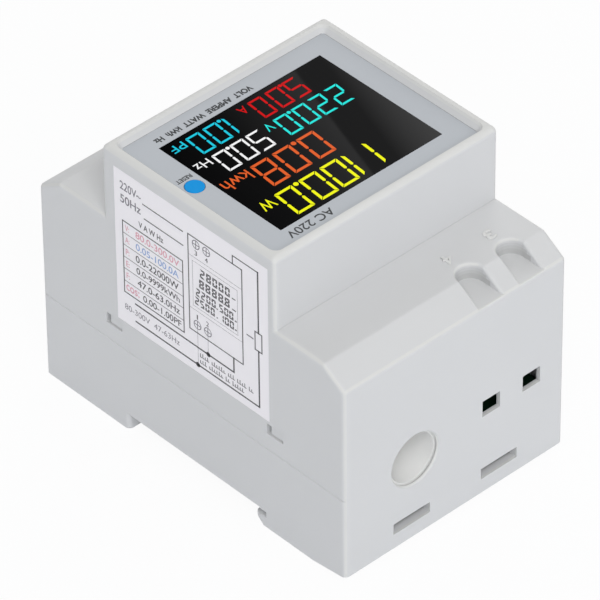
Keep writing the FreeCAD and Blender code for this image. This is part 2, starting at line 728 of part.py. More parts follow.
def main_board():
    """Long board beside the tube that carries the supply, the metering and the terminals."""
    low = MAIN_BOARD_TOP - BOARD
    edge = -(INNER_X - SNAP_CLEARANCE - SNAP_TONGUE - MAIN_BOARD_GAP)
    half = INNER_Y - BOARD_GAP
    board = box(edge, MAIN_BOARD_EDGE_X, -half, half, low, MAIN_BOARD_TOP)
    radius = SCREW_R + SCREW_HOLE_GAP
    return board.cut([upright(x, y, radius, low, MAIN_BOARD_TOP) for x, y in POST_PLACES])


def riser_board():
    """Upright board that joins the main board to the display board."""
    high = DISPLAY_BOARD_TOP - BOARD
    return slab(RISER_X, 0, BOARD, RISER_LENGTH, MAIN_BOARD_TOP, high)


def board_screws(places, seat_z, up):
    """Pan-head screws through a board, with the shank pointing up or down."""
    toward = 1 if up else -1
    crown_z = seat_z - toward * SCREW_HEAD
    slot_z = crown_z + toward * SCREW_SLOT_DEPTH
    tip_z = seat_z + toward * (BOARD + SCREW_BITE)
    screws = []
    for x, y in places:
        head = upright(x, y, SCREW_HEAD_R, min(seat_z, crown_z), max(seat_z, crown_z))
        shank = upright(x, y, SCREW_R, min(seat_z, tip_z), max(seat_z, tip_z))
        low, high = sorted((crown_z, slot_z))
        slot = slab(x, y, SCREW_SLOT, 2 * SCREW_HEAD_R, low, high)
        screws.append(joined(head, [shank]).cut(slot))
    return Part.makeCompound(screws)


def reset_button():
    """Round push button with a retaining flange under the top plate and a stem."""
    head = upright(BUTTON_X, BUTTON_Y, BUTTON_R, ROOF_Z - BUTTON_GAP, SHEET_TOP + BUTTON_PROUD)
    rim = [e for e in head.Edges if e.BoundBox.ZMin > SHEET_TOP]
    head = head.makeChamfer(BUTTON_EDGE, rim)
    flange_top = ROOF_Z - BUTTON_GAP
    flange = upright(BUTTON_X, BUTTON_Y, BUTTON_FLANGE_R, flange_top - BUTTON_FLANGE, flange_top)
    stem_low = DISPLAY_BOARD_TOP + SWITCH_HEIGHT + PLUNGER_PROUD
    stem = upright(BUTTON_X, BUTTON_Y, BUTTON_STEM_R, stem_low, flange_top)
    return joined(head, [flange, stem])


def switch_plunger():
    """Plunger of the switch, pressed by the stem of the button."""
    top = DISPLAY_BOARD_TOP + SWITCH_HEIGHT
    return upright(BUTTON_X, BUTTON_Y, PLUNGER_R, top - PLUNGER_DEPTH, top + PLUNGER_PROUD)


def reset_switch():
    """Small switch body on the display board, hollow under its plunger."""
    top = DISPLAY_BOARD_TOP + SWITCH_HEIGHT
    body = slab(BUTTON_X, BUTTON_Y, SWITCH_SIDE, SWITCH_SIDE, DISPLAY_BOARD_TOP, top)
    depth = PLUNGER_DEPTH + BUTTON_TRAVEL + BUTTON_GAP
    return body.cut(upright(BUTTON_X, BUTTON_Y, PLUNGER_R + PLUNGER_GAP, top - depth, top))


def current_transformer():
    """Moulded ring round the tube, with a foot that stands on the main board."""
    half = CORE_LENGTH / 2
    ring = lengthwise(CORE_R, -half, half)
    ring = ring.makeChamfer(CORE_EDGE, [e for e in ring.Edges if isinstance(e.Curve, Part.Circle)])
    foot_x = HOLE_X - CORE_R + CORE_FOOT_SUNK - CORE_FOOT_X / 2
    foot_top = MAIN_BOARD_TOP + CORE_FOOT_Z
    foot = slab(foot_x, 0, CORE_FOOT_X, CORE_FOOT_Y, MAIN_BOARD_TOP, foot_top)
    return joined(ring, [foot]).cut(lengthwise(TUBE_OUTER + CORE_GAP, -half, half))


def wire_tube():
    """Plain tube that lines the through hole from one end wall to the other."""
    tube = lengthwise(TUBE_OUTER, -TUBE_END, TUBE_END)
    return tube.cut(lengthwise(TUBE_R, -TUBE_END, TUBE_END))


def terminal_block():
    """Moulded block with a cell, a wire entry and a screw well for each terminal."""
    left = TERMINALS[0] - CAGE_CELL_X - BLOCK_WALL
    right = TERMINALS[1] + CAGE_CELL_X + BLOCK_WALL
    block = box(left, right, BLOCK_FRONT_Y, BLOCK_BACK_Y, MAIN_BOARD_TOP, BLOCK_TOP)
    cell_low = CAGE_FLOOR_TOP - CAGE_FLOOR - BAR_GAP
    entry_top = SEAM_Z + ENTRY_HEIGHT
    bar_low = BAR_Z - BAR_GAP
    bar_high = BAR_TOP + BAR_GAP
    cutters = []
    for x in TERMINALS:
        cutters.append(slab(x, -SLOPE_Y, 2 * CAGE_CELL_X, 2 * CAGE_CELL_Y, cell_low, DECK_Z))
        entry = ENTRY_WIDTH / 2
        cutters.append(box(x - entry, x + entry, BLOCK_FRONT_Y, -SLOPE_Y, SEAM_Z, entry_top))
        wide = BAR_WIDTH / 2 + BAR_GAP
        cutters.append(box(x - wide, x + wide, -SLOPE_Y, BLOCK_BACK_Y, bar_low, bar_high))
        cutters.append(upright(x, -SLOPE_Y, THREAD_R + CAGE_GAP, DECK_Z, DECK_Z + DECK))
        cutters.append(upright(x, -SLOPE_Y, WELL_R, DECK_Z + DECK, BLOCK_TOP))
    return block.cut(cutters)


def terminal_cage(x):
    """Steel clamp cage that the screw draws up to squeeze the wire against the bar."""
    low = CAGE_FLOOR_TOP - CAGE_FLOOR
    high = CAGE_TOP_Z + CAGE_TOP
    cage = slab(x, -SLOPE_Y, CAGE_X, CAGE_Y, low, high)
    inside = slab(x, -SLOPE_Y, CAGE_X - 2 * CAGE_WALL, CAGE_Y, CAGE_FLOOR_TOP, CAGE_TOP_Z)
    thread = upright(x, -SLOPE_Y, THREAD_R + THREAD_GAP, CAGE_TOP_Z, high)
    return cage.cut([inside, thread])


def terminal_screw(x):
    """Slotted clamp screw: its head sits on the deck and its tip stands on the bar."""
    head = upright(x, -SLOPE_Y, HEAD_R, HEAD_Z, HEAD_Z + HEAD_HEIGHT)
    shank = upright(x, -SLOPE_Y, THREAD_R, BAR_TOP + BAR_GAP, HEAD_Z)
    top = HEAD_Z + HEAD_HEIGHT
    slot = slab(x, -SLOPE_Y, HEAD_SLOT, 2 * HEAD_R, top - HEAD_SLOT_DEPTH, top)
    return joined(head, [shank]).cut(slot)


def contact_bar(x):
    """Brass bar through the cage, bent down behind the block to the board."""
    half = BAR_WIDTH / 2
    front = -SLOPE_Y - CAGE_Y / 2
    leg_front = BLOCK_BACK_Y + BAR_LEG_GAP
    leg_back = leg_front + BAR_THICKNESS
    points = [
        (front, BAR_Z), (front, BAR_TOP), (leg_back, BAR_TOP),
        (leg_back, MAIN_BOARD_TOP), (leg_front, MAIN_BOARD_TOP), (leg_front, BAR_Z),
    ]
    return prism_yz(points, x - half, x + half)


def rail_clip():
    """Sliding clip with a chamfered nose, two springy side arms and a screwdriver slot."""
    wide = CLIP_WIDTH / 2
    narrow = wide - CLIP_RIB_INSET
    back = -HALF_Y + CLIP_END_GAP
    plate = box(-wide, wide, back, FOOT_Y - CLIP_GAP, CLIP_SHELF, CLIP_TOP)
    tip = FOOT_Y + CLIP_NOSE
    points = [
        (back, CLIP_BOTTOM), (FOOT_Y - CLIP_GAP, CLIP_BOTTOM), (tip, CLIP_TOP - CLIP_NOSE_TIP),
        (tip, CLIP_TOP), (back, CLIP_TOP),
    ]
    clip = joined(plate, [prism_yz(points, -narrow, narrow)])
    slot_y = back + CLIP_SLOT_INSET
    cutters = [slab(0, slot_y, CLIP_SLOT_X, CLIP_SLOT_Y, CLIP_BOTTOM, CLIP_TOP)]
    arm_end = FOOT_Y - CLIP_GAP - CLIP_ARM_SLOT
    for side in (-1, 1):
        outer = side * (narrow - CLIP_ARM)
        inner = side * (narrow - CLIP_ARM - CLIP_ARM_SLOT)
        x0, x1 = sorted((outer, inner))
        cutters.append(box(x0, x1, arm_end - CLIP_ARM_LENGTH, arm_end, CLIP_BOTTOM, CLIP_TOP))
    return clip.cut(cutters)


def label_block(face_x, gap):
    """Block from the seat of the label out to a face, grown by a gap all round."""
    y0, y1 = LABEL_Y
    z0, z1 = LABEL_Z
    seat_x = HALF_X - LABEL_SUNK - LABEL_THICKNESS
    return box(seat_x, face_x, y0 - gap, y1 + gap, z0 - gap, z1 + gap)


def side_label():
    """Printed label in a shallow recess of the side wall, a hair below its surface."""
    return label_block(HALF_X - LABEL_SUNK, 0)


def line_capacitor():
    """Box-shaped capacitor across the supply."""
    size_x, size_y, size_z = LINE_CAP_SIZE
    y = LINE_CAP_Y_RATIO * HALF_Y
    body = slab(LINE_CAP_X, y, size_x, size_y, MAIN_BOARD_TOP, MAIN_BOARD_TOP + size_z)
    return round_uprights(body, CAN_EDGE)


def varistor():
    """Disc that limits surges, standing on its two leads."""
    x = VARISTOR_X
    y = VARISTOR_Y_RATIO * HALF_Y
    centre_z = MAIN_BOARD_TOP + VARISTOR_LIFT + VARISTOR_R
    half = VARISTOR_THICKNESS / 2
    disc = lengthwise(VARISTOR_R, y - half, y + half, x, centre_z)
    disc = disc.makeChamfer(VARISTOR_EDGE, [e for e in disc.Edges if isinstance(e.Curve, Part.Circle)])
    leads = []
    for side in (-1, 1):
        lead_x = x + side * VARISTOR_PITCH / 2
        leads.append(upright(lead_x, y, LEAD_R, MAIN_BOARD_TOP, centre_z))
    return joined(disc, leads)


def fuse_resistor():
    """Axial resistor lying above the board on two bent leads."""
    x = FUSE_X
    y = FUSE_Y_RATIO * HALF_Y
    centre_z = MAIN_BOARD_TOP + FUSE_R + FUSE_LIFT
    half = FUSE_LENGTH / 2
    body = lengthwise(FUSE_R, y - half, y + half, x, centre_z)
    reach = half + FUSE_LEG_REACH
    lead = lengthwise(LEAD_R, y - reach, y + reach, x, centre_z)
    leg_top = centre_z + LEG_R
    legs = [upright(x, y + side * reach, LEG_R, MAIN_BOARD_TOP, leg_top) for side in (-1, 1)]
    return joined(body, [lead] + legs)


def choke_coil():
    """Drum-shaped coil with its two flanges."""
    x = CHOKE_X
    y = CHOKE_Y_RATIO * HALF_Y
    top = MAIN_BOARD_TOP + CHOKE_HEIGHT
    waist = upright(x, y, CHOKE_R - CHOKE_WAIST, MAIN_BOARD_TOP, top)
    low = upright(x, y, CHOKE_R, MAIN_BOARD_TOP, MAIN_BOARD_TOP + CHOKE_FLANGE)
    high = upright(x, y, CHOKE_R, top - CHOKE_FLANGE, top)
    return joined(waist, [low, high])


def filter_capacitor(y_ratio, radius, height):
    """Electrolytic can with the groove near its foot."""
    x = FILTER_CAP_X
    y = y_ratio * HALF_Y
    can = upright(x, y, radius, MAIN_BOARD_TOP, MAIN_BOARD_TOP + height)
    rim = [e for e in can.Edges if e.BoundBox.ZMin > MAIN_BOARD_TOP + height / 2]
    can = can.makeChamfer(CAN_EDGE, rim)
    groove_z = MAIN_BOARD_TOP + radius / 2
    tip = Vector(x + radius - CAP_GROOVE, y, groove_z)
    low = Vector(x + radius + CAP_GROOVE, y, groove_z - 2 * CAP_GROOVE)
    high = Vector(x + radius + CAP_GROOVE, y, groove_z + 2 * CAP_GROOVE)
    profile = Part.Face(Part.makePolygon([tip, low, high, tip]))
    return can.cut(profile.revolve(Vector(x, y, 0), Vector(0, 0, 1), 360))


def leaded_chip(x, y, size, legs, board_z, up):
    """Flat chip with a row of legs along each long side, above or below a board."""
    sign = 1 if up else -1
    size_x, size_y, size_z = size
    low = board_z + sign * CHIP_LIFT
    high = low + sign * size_z
    body = slab(x, y, size_x, size_y, min(low, high), max(low, high))
    pitch = size_y / (legs + 1)
    reach = size_x + 2 * CHIP_LEG
    leg_z = low + sign * size_z / 2
    bar_low, bar_high = sorted((leg_z, leg_z - sign * CHIP_LIFT))
    foot_low, foot_high = sorted((leg_z, board_z))
    pieces = []
    for index in range(legs):
        leg_y = y - size_y / 2 + (index + 1) * pitch
        pieces.append(slab(x, leg_y, reach, pitch / 2, bar_low, bar_high))
        for side in (-1, 1):
            foot_x = x + side * (reach - CHIP_LEG / 2) / 2
            pieces.append(slab(foot_x, leg_y, CHIP_LEG / 2, pitch / 2, foot_low, foot_high))
    return joined(body, pieces)


def build():
    """Every separate piece by its node name."""
    moulding = upper_moulding()
    nodes = {
        "upper_housing": upper_housing(moulding),
        "front_housing": front_housing(moulding),
        "lower_housing": lower_housing(),
        "face_sheet": face_sheet(),
        "display_window": display_window(),
        "reset_button": reset_button(),
        "switch_plunger": switch_plunger(),
        "reset_switch": reset_switch(),
        "lcd_panel": lcd_panel(),
        "lcd_frame": lcd_frame(),
        "light_diffuser": light_diffuser(),
        "lcd_pins": lcd_pins(),
        "backlight_leds": backlight_leds(),
        "display_board": display_board(),
        "display_board_screws": board_screws(BOSS_PLACES, DISPLAY_BOARD_TOP - BOARD, True),
        "display_chip": leaded_chip(DISPLAY_CHIP_X, DISPLAY_CHIP_Y, DISPLAY_CHIP_SIZE,
                                    DISPLAY_CHIP_LEGS, DISPLAY_BOARD_TOP - BOARD, False),
        "riser_board": riser_board(),
        "main_board": main_board(),
        "main_board_screws": board_screws(POST_PLACES, MAIN_BOARD_TOP, False),
        "metering_chip": leaded_chip(METER_CHIP_X, METER_CHIP_Y_RATIO * HALF_Y, METER_CHIP_SIZE,
                                     METER_CHIP_LEGS, MAIN_BOARD_TOP, True),
        "line_capacitor": line_capacitor(),
        "varistor": varistor(),
        "fuse_resistor": fuse_resistor(),
        "choke_coil": choke_coil(),
        "filter_capacitor_1": filter_capacitor(LARGE_CAP_Y_RATIO, LARGE_CAP_R, LARGE_CAP_HEIGHT),
        "filter_capacitor_2": filter_capacitor(SMALL_CAP_Y_RATIO, SMALL_CAP_R, SMALL_CAP_HEIGHT),
        "current_transformer": current_transformer(),
        "wire_tube": wire_tube(),
        "terminal_block": terminal_block(),
        "rail_clip": rail_clip(),
        "side_label": side_label(),
    }
    for number, x in enumerate(TERMINALS, 1):
        nodes["terminal_cage_%d" % number] = terminal_cage(x)
        nodes["terminal_screw_%d" % number] = terminal_screw(x)
        nodes["contact_bar_%d" % number] = contact_bar(x)
    return nodes


os.makedirs("parts", exist_ok=True)
for name, shape in build().items():
    shape.exportStep("parts/%s.step" % name)
    bounds = shape.BoundBox
    corners = (bounds.XMin, bounds.XMax, bounds.YMin, bounds.YMax, bounds.ZMin, bounds.ZMax)
    extent = "x %.2f %.2f  y %.2f %.2f  z %.2f %.2f" % corners
    print("%-22s solids %2d valid %s  %s" % (name, len(shape.Solids), shape.isValid(), extent))
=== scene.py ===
import math

import bpy
from mathutils import Matrix, Vector


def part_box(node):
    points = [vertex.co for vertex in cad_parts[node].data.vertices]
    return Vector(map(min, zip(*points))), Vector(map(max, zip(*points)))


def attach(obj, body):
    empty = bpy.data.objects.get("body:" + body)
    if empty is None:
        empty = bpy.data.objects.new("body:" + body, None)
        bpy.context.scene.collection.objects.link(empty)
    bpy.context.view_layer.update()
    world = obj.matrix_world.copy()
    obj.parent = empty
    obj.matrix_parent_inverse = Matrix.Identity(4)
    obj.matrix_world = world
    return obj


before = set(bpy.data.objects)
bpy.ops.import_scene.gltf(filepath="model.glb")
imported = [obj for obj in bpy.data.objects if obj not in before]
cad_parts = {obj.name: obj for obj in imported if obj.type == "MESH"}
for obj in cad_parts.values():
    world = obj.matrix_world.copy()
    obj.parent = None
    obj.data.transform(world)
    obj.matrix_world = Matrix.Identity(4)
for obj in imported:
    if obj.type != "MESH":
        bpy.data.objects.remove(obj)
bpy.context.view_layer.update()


# Upper and lower housing: two mouldings in light grey flame-retardant ABS that snap together along the
# seam. The mould is spark-eroded, so the faces are matt with a fine grain. A paler tone is painted on
# the edges, the rim top and the pocket rims as painted highlight, and a darker tone in the seam groove,
# the crease at the shoulder and the depth of the pockets as painted shade.
mm = 0.001


def new_material(name):
    """A material with its node tree and its shader."""
    material = bpy.data.materials.new(name)
    material.use_nodes = True
    tree = material.node_tree
    return material, tree, tree.nodes["Principled BSDF"]


def place_on_piece(tree):
    """The place of a point on its own piece, from which every pattern is drawn."""
    return tree.nodes.new("ShaderNodeTexCoord").outputs["Object"]


def noise(tree, scale, detail=2, stretch=None, turn=0):
    """Noise over a piece, drawn out along an axis and turned about Z where that is given."""
    place = place_on_piece(tree)
    if stretch:
        drawn_out = tree.nodes.new("ShaderNodeMapping")
        drawn_out.inputs["Scale"].default_value = stretch
        drawn_out.inputs["Rotation"].default_value = (0, 0, turn)
        tree.links.new(place, drawn_out.inputs["Vector"])
        place = drawn_out.outputs["Vector"]
    pattern = tree.nodes.new("ShaderNodeTexNoise")
    pattern.inputs["Scale"].default_value = scale
    pattern.inputs["Detail"].default_value = detail
    tree.links.new(place, pattern.inputs["Vector"])
    return pattern.outputs["Fac"]


def shade(colour, share):
    """A colour made darker or lighter, as a socket takes it."""
    return [min(1, share * part) for part in colour] + [1]


def two_tones(tree, pattern, first, second, target):
    """Runs from one colour to another with a pattern, into a colour socket."""
    mix = tree.nodes.new("ShaderNodeMix")
    mix.data_type = "RGBA"
    mix.inputs["A"].default_value = first
    mix.inputs["B"].default_value = second
    tree.links.new(pattern, mix.inputs["Factor"])
    tree.links.new(mix.outputs["Result"], target)


def raise_surface(tree, pattern, strength, distance):
    """Bump that follows a pattern."""
    bump = tree.nodes.new("ShaderNodeBump")
    bump.inputs["Strength"].default_value = strength
    bump.inputs["Distance"].default_value = distance
    tree.links.new(pattern, bump.inputs["Height"])
    tree.links.new(bump.outputs["Normal"], tree.nodes["Principled BSDF"].inputs["Normal"])


def vary_roughness(tree, pattern, low, high):
    """Roughness that runs between two limits with a pattern."""
    limits = tree.nodes.new("ShaderNodeMapRange")
    limits.inputs["To Min"].default_value = low
    limits.inputs["To Max"].default_value = high
    tree.links.new(pattern, limits.inputs["Value"])
    tree.links.new(limits.outputs["Result"], tree.nodes["Principled BSDF"].inputs["Roughness"])


def moulded_plastic(name, colour, grain, depth, roughness):
    """Matt moulded plastic: fine grain in the bump and the roughness, a slow drift in tone."""
    plastic, tree, shader = new_material(name)
    speckle = noise(tree, 1 / grain, detail=4)
    drift = noise(tree, 45, detail=3)
    raise_surface(tree, speckle, strength=0.35, distance=depth)
    two_tones(tree, drift, shade(colour, 0.975), shade(colour, 1.02), shader.inputs["Base Color"])
    vary_roughness(tree, speckle, roughness - 0.05, roughness + 0.05)
    return plastic


def combined(tree, way, first, second):
    """One value out of two; the second alone where there is no first yet."""
    if first is None:
        return second
    joint = tree.nodes.new("ShaderNodeMath")
    joint.operation = way
    tree.links.new(first, joint.inputs[0])
    tree.links.new(second, joint.inputs[1])
    return joint.outputs["Value"]


def tone_in_bands(plastic, colour, bands):
    """Another tone painted in bands, as painted highlight or painted shade; a band lists (axis, low, high) in
    millimetres.
    """
    tree = plastic.node_tree
    base_colour = tree.nodes["Principled BSDF"].inputs["Base Color"]
    both_sides = tree.nodes.new("ShaderNodeVectorMath")
    both_sides.operation = "ABSOLUTE"
    parts = tree.nodes.new("ShaderNodeSeparateXYZ")
    tree.links.new(place_on_piece(tree), both_sides.inputs[0])
    tree.links.new(both_sides.outputs["Vector"], parts.inputs["Vector"])
    whole = None
    for limits in bands:
        band = None
        for axis, low, high in limits:
            inside = tree.nodes.new("ShaderNodeMath")
            inside.operation = "COMPARE"
            inside.inputs[1].default_value = (low + high) / 2 * mm
            inside.inputs[2].default_value = (high - low) / 2 * mm
            tree.links.new(parts.outputs[axis], inside.inputs[0])
            band = combined(tree, "MULTIPLY", band, inside.outputs["Value"])
        whole = combined(tree, "MAXIMUM", whole, band)
    other = tree.nodes.new("ShaderNodeMix")
    other.data_type = "RGBA"
    other.inputs["B"].default_value = shade(colour, 1)
    tree.links.new(base_colour.links[0].from_socket, other.inputs["A"])
    tree.links.new(whole, other.inputs["Factor"])
    tree.links.new(other.outputs["Result"], base_colour)


def finish_node(node, material):
    """Gives a carried-over solid its material in every slot."""
    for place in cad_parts[node].material_slots:
        place.material = material


housing_grain = 0.25 * mm
housing_grain_depth = 0.02 * mm
housing_roughness = 0.52
housing_plastic = moulded_plastic("housing_plastic", (0.665, 0.670, 0.680), housing_grain,
                                  housing_grain_depth, housing_roughness)
# Painted highlight: a paler tone along the rounded edges, over the rim top and on the pocket rims.
painted_edge_highlights = (
    [("X", 26.50, 26.88), ("Z", 26.0, 64.0)],
    [("Y", 39.50, 39.88)],
    [("Y", 21.85, 22.33), ("Z", 48.0, 64.0)],
    [("Z", 62.95, 63.5)],
    [("Z", 46.92, 47.32), ("Y", 26.0, 33.5)],
)
# Painted shade: a darker line in the seam groove and in the crease where the front wall meets the shoulder.
painted_crease_shade = (
    [("Z", 18.68, 18.92), ("X", 26.7, 27.1)],
    [("Z", 47.30, 47.52), ("Y", 22.35, 22.60)],
)
painted_shade_tone = (0.605, 0.61, 0.618)
tone_in_bands(housing_plastic, (0.700, 0.702, 0.693), painted_edge_highlights)
tone_in_bands(housing_plastic, painted_shade_tone, painted_crease_shade)
# Painted shade: darker tones, in steps, towards the floor and the back of the pockets.
for tone, pocket_z, pocket_y in ((painted_shade_tone, 46.5, 34.7), ((0.565, 0.57, 0.57), 45.9, 35.5),
                                 ((0.525, 0.53, 0.53), 45.2, 36.5)):
    painted_pocket_shade = [("Z", 44.04, pocket_z), ("Y", 29.5, pocket_y), ("X", 5.5, 22.0)]
    tone_in_bands(housing_plastic, tone, [painted_pocket_shade])
for node in ("upper_housing", "front_housing", "lower_housing"):
    finish_node(node, housing_plastic)


# Raised numerals beside the four terminal positions: part of the upper moulding, three tenths of a
# millimetre high, as the engraving in the mould leaves them.
def fitted_words(name, words, low, high, thickness, turn, bolder=0.0):
    """Letters laid into a box given by two corners in the plane of print, then turned onto their surface."""
    bpy.ops.object.select_all(action="DESELECT")
    bpy.ops.object.text_add()
    letters = bpy.context.object
    letters.data.body = words
    letters.data.extrude = 0.1
    letters.data.bevel_depth = bolder
    letters.data.bevel_resolution = 0
    bpy.ops.object.convert(target="MESH")
    letters = bpy.context.object
    letters.name = name
    corners = [vertex.co for vertex in letters.data.vertices]
    least = Vector([min(corner[axis] for corner in corners) for axis in range(3)])
    most = Vector([max(corner[axis] for corner in corners) for axis in range(3)])
    across = (high[0] - low[0]) / (most.x - least.x)
    upward = (high[1] - low[1]) / (most.y - least.y)
    deep = thickness / (most.z - least.z)
    fitted = Matrix.Diagonal((across, upward, deep, 1)) @ Matrix.Translation(-least)
    letters.data.transform(turn @ Matrix.Translation((low[0], low[1], 0)) @ fitted)
    return letters


def joined_piece(name, pieces):
    """One object out of several meshes."""
    bpy.ops.object.select_all(action="DESELECT")
    for piece in pieces:
        piece.select_set(True)
    whole = pieces[0]
    bpy.context.view_layer.objects.active = whole
    if len(pieces) > 1:
        bpy.ops.object.join()
    whole.name = name
    return whole


def coat(piece, material):
    """Gives a new piece its one material."""
    piece.data.materials.clear()
    piece.data.materials.append(material)


shoulder_z = 47.4 * mm
numeral_height = 2.4 * mm
numeral_width = 1.95 * mm
numeral_relief = 0.3 * mm
numeral_root = 0.05 * mm
on_shoulder = Matrix.Translation((0, 0, shoulder_z - numeral_root))
numerals = []
for figure, x, y in (("4", -8.4, 29.05), ("3", -18.45, 29.1), ("2", -8.4, -29.1), ("1", -18.45, -29.1)):
    low = (x * mm - numeral_width / 2, y * mm - numeral_height / 2)
    high = (x * mm + numeral_width / 2, y * mm + numeral_height / 2)
    numerals.append(fitted_words("numeral", figure, low, high, numeral_root + numeral_relief, on_shoulder,
                                 bolder=0.015))
numerals = joined_piece("raised_numerals", numerals)
# Painted highlight: the numerals take a paler copy of the housing plastic, so that their relief reads lighter
# than the shoulder.
coat(numerals, moulded_plastic("numeral_painted_highlight", (0.725, 0.727, 0.720), housing_grain,
                               housing_grain_depth, housing_roughness))
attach(numerals, "housing")


# Rail clip: a slide moulded in a darker, tougher plastic. It lies in the foot of the housing, and its
# nose catches the flange of the rail under the force of its own two springy arms.
clip_plastic = moulded_plastic("clip_plastic", (0.36, 0.37, 0.38), grain=0.25 * mm, depth=0.02 * mm,
                               roughness=0.48)
finish_node("rail_clip", clip_plastic)


# Wire tube: extruded from light plastic and smooth inside, so that the measured conductor slips through.
# It is held in the holes of the two end walls.
tube_plastic = moulded_plastic("tube_plastic", (0.88, 0.88, 0.87), grain=0.4 * mm, depth=0.008 * mm,
                               roughness=0.40)
finish_node("wire_tube", tube_plastic)


# Boards: glass-fibre laminate under green lacquer, with a faint weave that shows through. Four screws
# hold the main board and four the display board, and the upright board is soldered between them.
def lacquered_board(name, colour):
    """Green lacquer over a woven laminate."""
    laminate, tree, shader = new_material(name)
    shader.inputs["Roughness"].default_value = 0.32
    shader.inputs["Coat Weight"].default_value = 0.5
    weave = tree.nodes.new("ShaderNodeTexBrick")
    weave.inputs["Scale"].default_value = 900
    weave.inputs["Mortar Size"].default_value = 0.06
    weave.inputs["Color1"].default_value = shade(colour, 1)
    weave.inputs["Color2"].default_value = shade(colour, 1.25)
    weave.inputs["Mortar"].default_value = shade(colour, 0.7)
    tree.links.new(place_on_piece(tree), weave.inputs["Vector"])
    tree.links.new(weave.outputs["Color"], shader.inputs["Base Color"])
    raise_surface(tree, weave.outputs["Fac"], strength=0.2, distance=0.02 * mm)
    return laminate


board_lacquer = lacquered_board("board_lacquer", (0.004, 0.028, 0.012))
for node in ("main_board", "display_board", "riser_board"):
    finish_node(node, board_lacquer)


# Parts on the boards: moulded chips, coil and transformer, a boxed line capacitor, a dipped disc, two
# sleeved cans, the switch, the terminal block and the light box of the display. All are moulded, dipped
# or sleeved, so each has the same kind of finish in a colour of its own.
component_colours = {
    "metering_chip": (0.018, 0.018, 0.02),
    "display_chip": (0.018, 0.018, 0.02),
    "choke_coil": (0.03, 0.03, 0.032),
    "current_transformer": (0.035, 0.036, 0.04),
    "reset_switch": (0.02, 0.02, 0.02),
    "switch_plunger": (0.05, 0.05, 0.05),
    "line_capacitor": (0.62, 0.42, 0.03),
    "varistor": (0.02, 0.06, 0.30),
    "fuse_resistor": (0.36, 0.26, 0.13),
    "filter_capacitor_1": (0.012, 0.016, 0.035),
    "filter_capacitor_2": (0.012, 0.016, 0.035),
    "terminal_block": (0.05, 0.052, 0.055),
    "lcd_frame": (0.80, 0.80, 0.78),
    "light_diffuser": (0.86, 0.86, 0.85),
    "backlight_leds": (0.85, 0.82, 0.60),
}
for node, colour in component_colours.items():
    component_plastic = moulded_plastic(node + "_finish", colour, grain=0.3 * mm, depth=0.015 * mm,
                                        roughness=0.42)
    finish_node(node, component_plastic)


# Metal inside: zinc-plated steel for the screws and the clamp cages, bright brass for the contact bars
# and tinned wire for the pins of the cell. Drawing and plating leave fine marks and a slight clouding.
def plated_metal(name, colour, roughness):
    """Plated metal with fine drawing marks and slight clouding."""
    metal, tree, shader = new_material(name)
    shader.inputs["Metallic"].default_value = 1.0
    drawing_marks = noise(tree, 6000, detail=3, stretch=(1, 1, 0.08))
    clouding = noise(tree, 700)
    vary_roughness(tree, drawing_marks, roughness - 0.08, roughness + 0.1)
    two_tones(tree, clouding, shade(colour, 0.85), shade(colour, 1), shader.inputs["Base Color"])
    return metal


zinc_plated = plated_metal("zinc_plated", (0.62, 0.63, 0.62), roughness=0.30)
for node in ("terminal_screw_1", "terminal_screw_2", "terminal_cage_1", "terminal_cage_2",
             "main_board_screws", "display_board_screws"):
    finish_node(node, zinc_plated)
bright_brass = plated_metal("bright_brass", (0.72, 0.53, 0.22), roughness=0.25)
for node in ("contact_bar_1", "contact_bar_2"):
    finish_node(node, bright_brass)
finish_node("lcd_pins", plated_metal("tinned_pins", (0.70, 0.70, 0.68), roughness=0.28))


# Face sheet: a die-cut polyester film with silver-grey ink on its back and a very fine grain on its
# face, glued into the recess of the front. A darker tone along its edge is painted shade in the gap to the
# recess wall.
sheet_film = moulded_plastic("sheet_film", (0.488, 0.515, 0.555), grain=0.35 * mm, depth=0.006 * mm,
                             roughness=0.42)
painted_edge_shade = ([("X", 24.34, 24.50)], [("Y", 19.94, 20.10)])
tone_in_bands(sheet_film, (0.30, 0.31, 0.33), painted_edge_shade)
finish_node("face_sheet", sheet_film)
sheet_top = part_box("face_sheet")[1].z


# Print on the sheet: the word beside the button, a row of plain units and the supply, in dark grey screen
# ink that stands a little proud of the film.
def printing_ink(name, colour):
    """Thin screen ink that lies a little unevenly on film or paper."""
    ink, tree, shader = new_material(name)
    shader.inputs["Roughness"].default_value = 0.5
    two_tones(tree, noise(tree, 2500), shade(colour, 0.85), shade(colour, 1.2), shader.inputs["Base Color"])
    return ink


ink_height = 0.015 * mm
on_sheet = Matrix.Translation((0, 0, sheet_top))
sheet_words = []
for name, words, low, high, bolder in (
        ("button_word", "RESET", (20.35, -6.65), (23.85, -5.6), 0.025),
        ("unit_row", "VOLT  AMPERE  WATT  kWh  Hz", (-4.3, -17.95), (18.8, -16.55), 0.042),
        ("supply_words", "AC 220V", (9.0, 17.1), (19.6, 19.0), 0.01)):
    low = [part * mm for part in low]
    high = [part * mm for part in high]
    sheet_words.append(fitted_words(name, words, low, high, ink_height, on_sheet, bolder))
sheet_print = joined_piece("sheet_print", sheet_words)
coat(sheet_print, printing_ink("sheet_ink", (0.03, 0.033, 0.036)))
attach(sheet_print, "housing")


